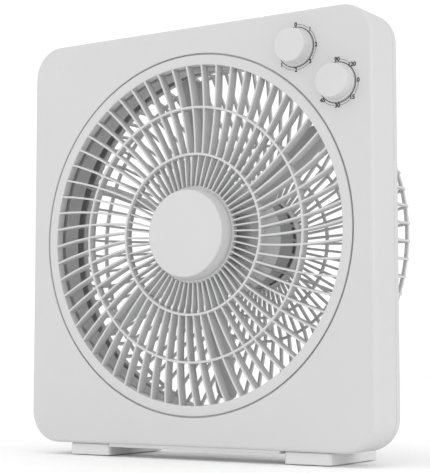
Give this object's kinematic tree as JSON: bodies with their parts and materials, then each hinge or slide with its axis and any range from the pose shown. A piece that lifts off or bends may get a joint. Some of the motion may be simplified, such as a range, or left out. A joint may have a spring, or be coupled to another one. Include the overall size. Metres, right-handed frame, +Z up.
{
  "type": "box fan",
  "caption": "Slim square box fan with a slowly turning round louvre grille, speed and timer dials, rear basket guard and low skid feet.",
  "frame": {"origin": "on the floor under the middle of the bounding box, which runs from the front of the dials to the back of the guard", "axes": "+Z up, +Y from the front panel to the rear guard, +X to the right seen from the front; the fan axis is parallel to Y"},
  "size_m": [0.36, 0.1402, 0.3857],
  "materials": {
    "white_plastic": "fine satin",
    "grey_plastic": "satin",
    "dark_plastic": "matte",
    "steel": "zinc plated",
    "laminated_steel": "matte",
    "copper": "enamelled wire",
    "rubber": "matte"
  },
  "bodies": {
    "housing": {"front_shell": "white_plastic", "rear_shell": "white_plastic", "shroud": "white_plastic", "rear_guard": "white_plastic", "motor_cover": "white_plastic", "motor_bell_front": "grey_plastic", "motor_bell_rear": "grey_plastic", "terminal_block": "grey_plastic", "foot_left": "grey_plastic", "foot_right": "grey_plastic", "speed_body": "dark_plastic", "timer_body": "dark_plastic", "capacitor": "dark_plastic", "cord_gland": "dark_plastic", "bearing_front": "steel", "bearing_rear": "steel", "capacitor_screw": "steel", "drive_screw_1": "steel", "drive_screw_2": "steel", "foot_screw_left": "steel", "foot_screw_right": "steel", "motor_screw_1": "steel", "motor_screw_2": "steel", "motor_screw_3": "steel", "motor_screw_4": "steel", "shroud_screw_1": "steel", "shroud_screw_2": "steel", "shroud_screw_3": "steel", "shroud_screw_4": "steel", "housing_screw_top_left": "steel", "housing_screw_top_right": "steel", "housing_screw_bottom_left": "steel", "housing_screw_bottom_right": "steel", "stator": "laminated_steel", "drive_motor": "laminated_steel", "winding_front": "copper", "winding_rear": "copper", "pad_left_front": "rubber", "pad_left_rear": "rubber", "pad_right_front": "rubber", "pad_right_rear": "rubber"},
    "grille": {"grille": "white_plastic", "hub_cap": "white_plastic"},
    "drive": {"drive_roller": "rubber", "drive_shaft": "steel"},
    "fan": {"impeller": "grey_plastic", "shaft_nut": "grey_plastic", "motor_shaft": "steel", "rotor": "laminated_steel"},
    "speed_dial": {"speed_knob": "white_plastic", "speed_shaft": "steel"},
    "timer_dial": {"timer_knob": "white_plastic", "timer_shaft": "steel"}
  },
  "joints": [
    {"name": "impeller_spin", "type": "hinge", "parent": "housing", "child": "fan", "pos_m": [0, -0.0169, 0.199], "axis": [0, 1, 0], "continuous": true},
    {"name": "grille_spin", "type": "hinge", "parent": "housing", "child": "grille", "pos_m": [0, -0.0569, 0.199], "axis": [0, 1, 0], "continuous": true},
    {"name": "drive_spin", "type": "hinge", "parent": "housing", "child": "drive", "pos_m": [0.12678, -0.0519, 0.07222], "axis": [0, 1, 0], "continuous": true},
    {"name": "speed_knob_turn", "type": "hinge", "parent": "housing", "child": "speed_dial", "pos_m": [0.1083, -0.0629, 0.3538], "axis": [0, 1, 0], "range_deg": [0, 225]},
    {"name": "timer_knob_turn", "type": "hinge", "parent": "housing", "child": "timer_dial", "pos_m": [0.1478, -0.0629, 0.3191], "axis": [0, 1, 0], "range_deg": [0, 315]}
  ],
  "couplings": [
    {"joint": "drive_spin", "follows": "grille_spin", "ratio": -11.786}
  ]
}
